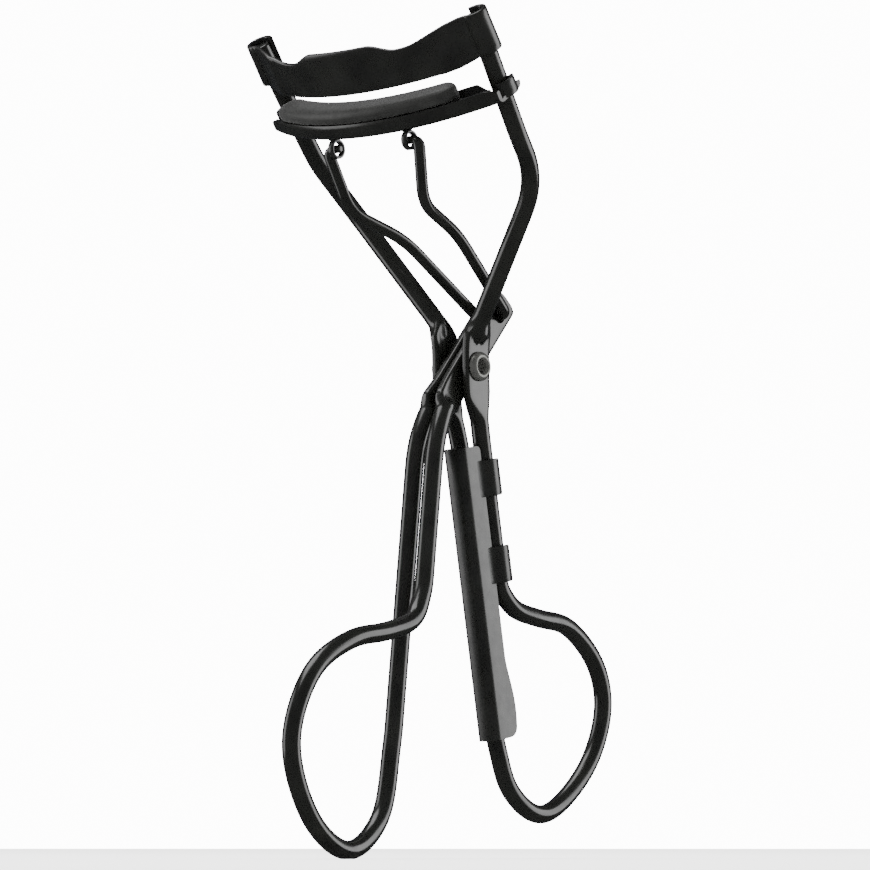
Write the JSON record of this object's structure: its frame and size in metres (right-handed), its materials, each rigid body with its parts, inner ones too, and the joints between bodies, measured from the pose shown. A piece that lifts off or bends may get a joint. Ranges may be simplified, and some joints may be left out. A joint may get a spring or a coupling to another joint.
{
  "type": "eyelash curler",
  "caption": "Scissor-action eyelash curler: bent-wire handles with finger loops, a sliding padded lower jaw, a curved upper plate and a fold-out lash comb.",
  "frame": {"origin": "middle of the bounding box at its lowest face, under the pivot", "axes": "+Z along the tool from the finger loops up to the jaws, +X across the jaws and along the rivet, -Y towards the bulge of the jaws and the front finger loop"},
  "size_m": [0.0384, 0.0624, 0.1031],
  "materials": {
    "black_paint": "gloss black lacquer over steel wire",
    "black_sheet": "gloss black lacquer over steel sheet",
    "pad_rubber": "satin black silicone rubber",
    "rivet_steel": "dark blackened steel, worn bright at the edge"
  },
  "bodies": {
    "frame": {"frame_wire": "black_paint", "upper_plate": "black_sheet", "pivot_rivet": "rivet_steel"},
    "lever": {"front_handle": "black_paint"},
    "jaw": {"lower_jaw": "black_sheet", "lash_pad": "pad_rubber", "jaw_lug_left": "black_sheet", "jaw_lug_right": "black_sheet"},
    "fork": {"push_fork": "black_paint"},
    "comb": {"lash_comb": "black_sheet"}
  },
  "joints": [
    {"name": "squeeze", "type": "hinge", "parent": "frame", "child": "lever", "pos_m": [0, 0.00151, 0.0611], "axis": [1, 0, 0], "range_deg": [-25, 8.5]},
    {"name": "jaw_slide", "type": "slide", "parent": "frame", "child": "jaw", "axis": [0, -0.5736, 0.8192], "range_m": [-0.0043, 0.0015]},
    {"name": "fork_swing", "type": "hinge", "parent": "lever", "child": "fork", "pos_m": [0, 0.00768, 0.06819], "axis": [1, 0, 0], "range_deg": [-9, 26.5]},
    {"name": "comb_swing", "type": "hinge", "parent": "frame", "child": "comb", "pos_m": [0.0018, 0.00533, 0.0421], "axis": [0, -0.1874, 0.9823], "range_deg": [0, 110]}
  ],
  "couplings": [
    {"joint": "jaw_slide", "follows": "squeeze", "m_per_rad": 0.0096},
    {"joint": "fork_swing", "follows": "squeeze", "ratio": -1.034}
  ]
}
